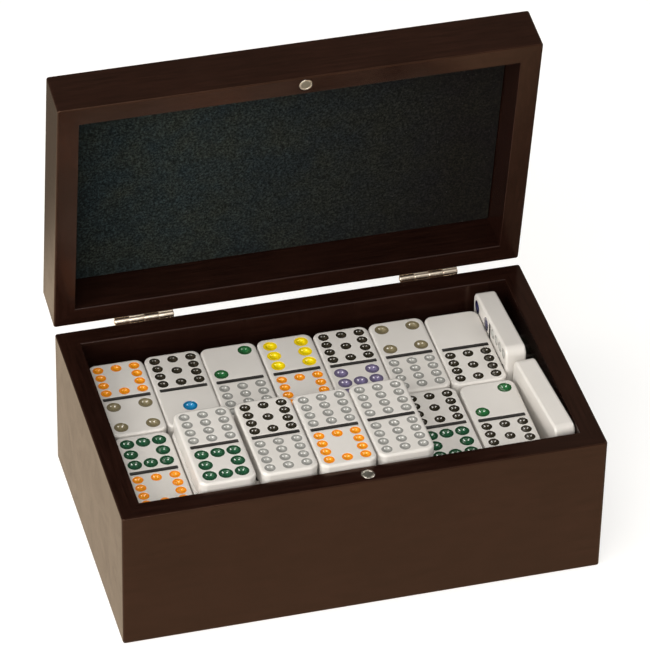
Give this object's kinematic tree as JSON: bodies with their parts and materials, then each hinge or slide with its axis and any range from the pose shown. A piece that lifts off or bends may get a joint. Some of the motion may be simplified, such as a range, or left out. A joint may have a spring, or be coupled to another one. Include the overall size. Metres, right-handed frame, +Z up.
{
  "type": "domino storage box",
  "caption": "Wooden storage box with a felt-lined hinged lid and magnetic closure, filled with layers of loose dominoes that lift out.",
  "frame": {"origin": "centre of the underside of the box", "axes": "+X to the right along the box's length, +Y to the back where the hinges are, +Z up"},
  "size_m": [0.2162, 0.1556, 0.2056],
  "materials": {
    "box_wood": "dark espresso stain under satin lacquer",
    "lid_wood": "dark espresso stain under satin lacquer",
    "felt": "short charcoal felt",
    "hinge_metal": "pale brass plate, polished",
    "screw_metal": "nickel plate",
    "magnet_metal": "nickel plate, worn",
    "tile_plastic": "polished white with painted pips"
  },
  "bodies": {
    "box": {"front_wall": "box_wood", "back_wall": "box_wood", "left_wall": "box_wood", "right_wall": "box_wood", "bottom_panel": "box_wood", "floor_felt": "felt", "box_magnet": "magnet_metal", "left_hinge_box_leaf": "hinge_metal", "left_hinge_pin": "hinge_metal", "right_hinge_box_leaf": "hinge_metal", "right_hinge_pin": "hinge_metal", "box_hinge_screws": "screw_metal", "front_tile_2": "tile_plastic", "front_tile_3": "tile_plastic", "front_tile_4": "tile_plastic", "front_tile_5": "tile_plastic", "front_tile_6": "tile_plastic", "tile_layer_1": "tile_plastic", "tile_layer_2": "tile_plastic", "tile_layer_3": "tile_plastic", "tile_layer_4": "tile_plastic", "tile_layer_5": "tile_plastic", "inner_standing_tile": "tile_plastic"},
    "lid": {"lid_front_rail": "lid_wood", "lid_back_rail": "lid_wood", "lid_left_rail": "lid_wood", "lid_right_rail": "lid_wood", "lid_panel": "lid_wood", "lid_felt": "felt", "lid_magnet": "magnet_metal", "left_hinge_lid_leaf": "hinge_metal", "right_hinge_lid_leaf": "hinge_metal", "lid_hinge_screws": "screw_metal"},
    "back_tile_1": {"back_tile_1": "tile_plastic"},
    "back_tile_2": {"back_tile_2": "tile_plastic"},
    "back_tile_3": {"back_tile_3": "tile_plastic"},
    "back_tile_4": {"back_tile_4": "tile_plastic"},
    "back_tile_5": {"back_tile_5": "tile_plastic"},
    "back_tile_6": {"back_tile_6": "tile_plastic"},
    "back_tile_7": {"back_tile_7": "tile_plastic"},
    "front_tile_1": {"front_tile_1": "tile_plastic"},
    "front_tile_7": {"front_tile_7": "tile_plastic"},
    "top_tile_1": {"top_tile_1": "tile_plastic"},
    "top_tile_2": {"top_tile_2": "tile_plastic"},
    "top_tile_3": {"top_tile_3": "tile_plastic"},
    "top_tile_4": {"top_tile_4": "tile_plastic"},
    "standing_tile_back": {"standing_tile_back": "tile_plastic"},
    "standing_tile_front": {"standing_tile_front": "tile_plastic"}
  },
  "joints": [
    {"name": "lid_hinge", "type": "hinge", "parent": "box", "child": "lid", "pos_m": [0, 0.06775, 0.0703], "axis": [-1, 0, 0], "range_deg": [-82.2, 12.8]},
    {"name": "lift_back_tile_1", "type": "slide", "parent": "box", "child": "back_tile_1", "axis": [0, 0, 1], "range_m": [0, 0.03]},
    {"name": "lift_back_tile_2", "type": "slide", "parent": "box", "child": "back_tile_2", "axis": [0, 0, 1], "range_m": [0, 0.03]},
    {"name": "lift_back_tile_3", "type": "slide", "parent": "box", "child": "back_tile_3", "axis": [0, 0, 1], "range_m": [0, 0.03]},
    {"name": "lift_back_tile_4", "type": "slide", "parent": "box", "child": "back_tile_4", "axis": [0, 0, 1], "range_m": [0, 0.03]},
    {"name": "lift_back_tile_5", "type": "slide", "parent": "box", "child": "back_tile_5", "axis": [0, 0, 1], "range_m": [0, 0.03]},
    {"name": "lift_back_tile_6", "type": "slide", "parent": "box", "child": "back_tile_6", "axis": [0, 0, 1], "range_m": [0, 0.03]},
    {"name": "lift_back_tile_7", "type": "slide", "parent": "box", "child": "back_tile_7", "axis": [0, 0, 1], "range_m": [0, 0.03]},
    {"name": "lift_front_tile_1", "type": "slide", "parent": "box", "child": "front_tile_1", "axis": [0, 0, 1], "range_m": [0, 0.03]},
    {"name": "lift_front_tile_7", "type": "slide", "parent": "box", "child": "front_tile_7", "axis": [0, 0, 1], "range_m": [0, 0.03]},
    {"name": "lift_top_tile_1", "type": "slide", "parent": "box", "child": "top_tile_1", "axis": [0, 0, 1], "range_m": [0, 0.03]},
    {"name": "lift_top_tile_2", "type": "slide", "parent": "box", "child": "top_tile_2", "axis": [0, 0, 1], "range_m": [0, 0.03]},
    {"name": "lift_top_tile_3", "type": "slide", "parent": "box", "child": "top_tile_3", "axis": [0, 0, 1], "range_m": [0, 0.03]},
    {"name": "lift_top_tile_4", "type": "slide", "parent": "box", "child": "top_tile_4", "axis": [0, 0, 1], "range_m": [0, 0.03]},
    {"name": "lift_standing_tile_back", "type": "slide", "parent": "box", "child": "standing_tile_back", "axis": [0, 0, 1], "range_m": [0, 0.035]},
    {"name": "lift_standing_tile_front", "type": "slide", "parent": "box", "child": "standing_tile_front", "axis": [0, 0, 1], "range_m": [0, 0.035]}
  ]
}
